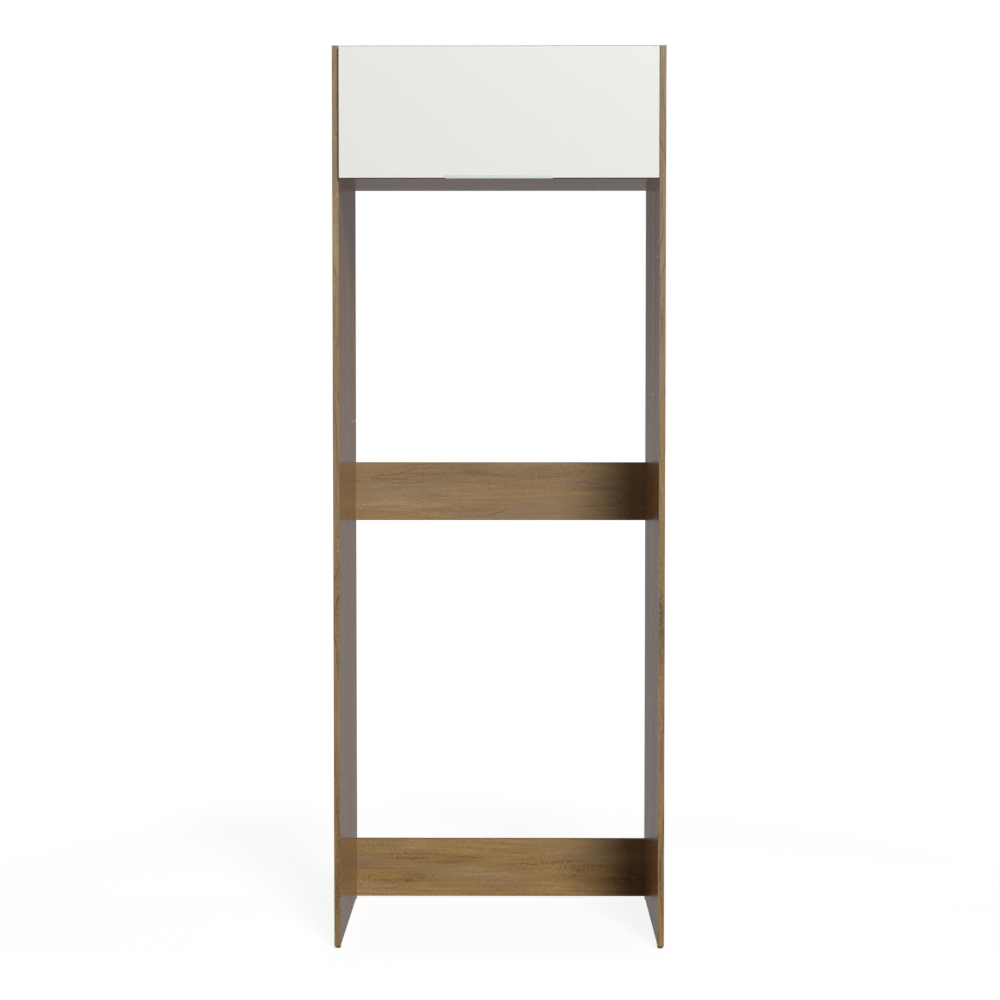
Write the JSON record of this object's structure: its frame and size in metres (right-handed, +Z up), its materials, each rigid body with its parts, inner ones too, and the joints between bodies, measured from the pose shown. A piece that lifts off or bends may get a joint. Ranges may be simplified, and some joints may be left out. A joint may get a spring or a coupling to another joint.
{
  "type": "refrigerator cabinet",
  "caption": "Tall open surround for a refrigerator: side panels, back rails and a top box with a lift-up flap door on cup hinges and folding stays.",
  "frame": {"origin": "on the floor, midway between the side panels and midway between the handle's front and the rear edges", "axes": "+Z up, +X to the right seen from the front, +Y from the door towards the wall"},
  "size_m": [0.8, 0.5954, 2.18],
  "materials": {
    "oak_laminate": "satin oak-grain laminate",
    "white_laminate": "off-white satin laminate",
    "hardboard": "thin lacquered hardboard",
    "dark_edging": "matt dark edge banding",
    "aluminium": "satin anodised",
    "nylon": "moulded nylon",
    "clear_bumper": "soft translucent pad",
    "beech": "bare fluted dowel",
    "zinc_alloy": "die-cast zinc",
    "zinc_steel": "zinc-plated steel",
    "nickel_steel": "nickel-plated steel"
  },
  "bodies": {
    "cabinet": {"left_side_panel": "oak_laminate", "right_side_panel": "oak_laminate", "left_edge_band": "oak_laminate", "right_edge_band": "oak_laminate", "top_panel": "oak_laminate", "bottom_panel": "oak_laminate", "top_edge_band": "oak_laminate", "bottom_edge_band": "oak_laminate", "back_panel": "hardboard", "middle_rail": "oak_laminate", "lower_rail": "oak_laminate", "middle_rail_edge_bands": "oak_laminate", "lower_rail_edge_bands": "oak_laminate", "foot_front_left": "nylon", "foot_front_right": "nylon", "foot_rear_left": "nylon", "foot_rear_right": "nylon", "foot_nails": "nickel_steel", "left_hinge_arm": "nickel_steel", "right_hinge_arm": "nickel_steel", "left_hinge_plate": "nickel_steel", "right_hinge_plate": "nickel_steel", "hinge_arm_screws": "nickel_steel", "hinge_plate_screws": "nickel_steel", "left_stay_base": "zinc_steel", "right_stay_base": "zinc_steel", "left_stay_washer": "nylon", "right_stay_washer": "nylon", "left_stay_bolt": "zinc_steel", "right_stay_bolt": "zinc_steel", "stay_base_screws": "zinc_steel", "cam_locks": "zinc_alloy", "cam_bolts": "zinc_alloy", "wood_dowels": "beech", "back_panel_nails": "nickel_steel", "left_wall_bracket": "nickel_steel", "right_wall_bracket": "nickel_steel", "wall_bracket_screws": "nickel_steel"},
    "door": {"door_panel": "white_laminate", "door_edge_band": "dark_edging", "handle": "aluminium", "handle_screws": "nickel_steel", "door_bumpers": "clear_bumper", "left_hinge_cup": "nickel_steel", "right_hinge_cup": "nickel_steel", "left_hinge_pin": "nickel_steel", "right_hinge_pin": "nickel_steel", "hinge_cup_screws": "nickel_steel", "left_stay_bracket": "zinc_steel", "right_stay_bracket": "zinc_steel", "left_bracket_rivet": "zinc_steel", "right_bracket_rivet": "zinc_steel", "stay_bracket_screws": "zinc_steel"},
    "left_lever": {"left_stay_lever": "zinc_steel", "left_stay_rivet": "zinc_steel"},
    "right_lever": {"right_stay_lever": "zinc_steel", "right_stay_rivet": "zinc_steel"},
    "left_link": {"left_stay_link": "zinc_steel"},
    "right_link": {"right_stay_link": "zinc_steel"}
  },
  "joints": [
    {"name": "door_hinge", "type": "hinge", "parent": "cabinet", "child": "door", "pos_m": [0, -0.28725, 2.168], "axis": [-1, 0, 0], "range_deg": [0, 85]},
    {"name": "left_lever_pivot", "type": "hinge", "parent": "cabinet", "child": "left_lever", "pos_m": [-0.38025, -0.21225, 2.118], "axis": [-1, 0, 0], "range_deg": [0, 85]},
    {"name": "left_link_pivot", "type": "hinge", "parent": "left_lever", "child": "left_link", "pos_m": [-0.37755, -0.18725, 2.008], "axis": [-1, 0, 0], "range_deg": [-85, 0]},
    {"name": "right_lever_pivot", "type": "hinge", "parent": "cabinet", "child": "right_lever", "pos_m": [0.38025, -0.21225, 2.118], "axis": [-1, 0, 0], "range_deg": [0, 85]},
    {"name": "right_link_pivot", "type": "hinge", "parent": "right_lever", "child": "right_link", "pos_m": [0.37755, -0.18725, 2.008], "axis": [-1, 0, 0], "range_deg": [-85, 0]}
  ],
  "couplings": [
    {"joint": "left_lever_pivot", "follows": "door_hinge", "ratio": 1},
    {"joint": "left_link_pivot", "follows": "door_hinge", "ratio": -1},
    {"joint": "right_lever_pivot", "follows": "door_hinge", "ratio": 1},
    {"joint": "right_link_pivot", "follows": "door_hinge", "ratio": -1}
  ]
}
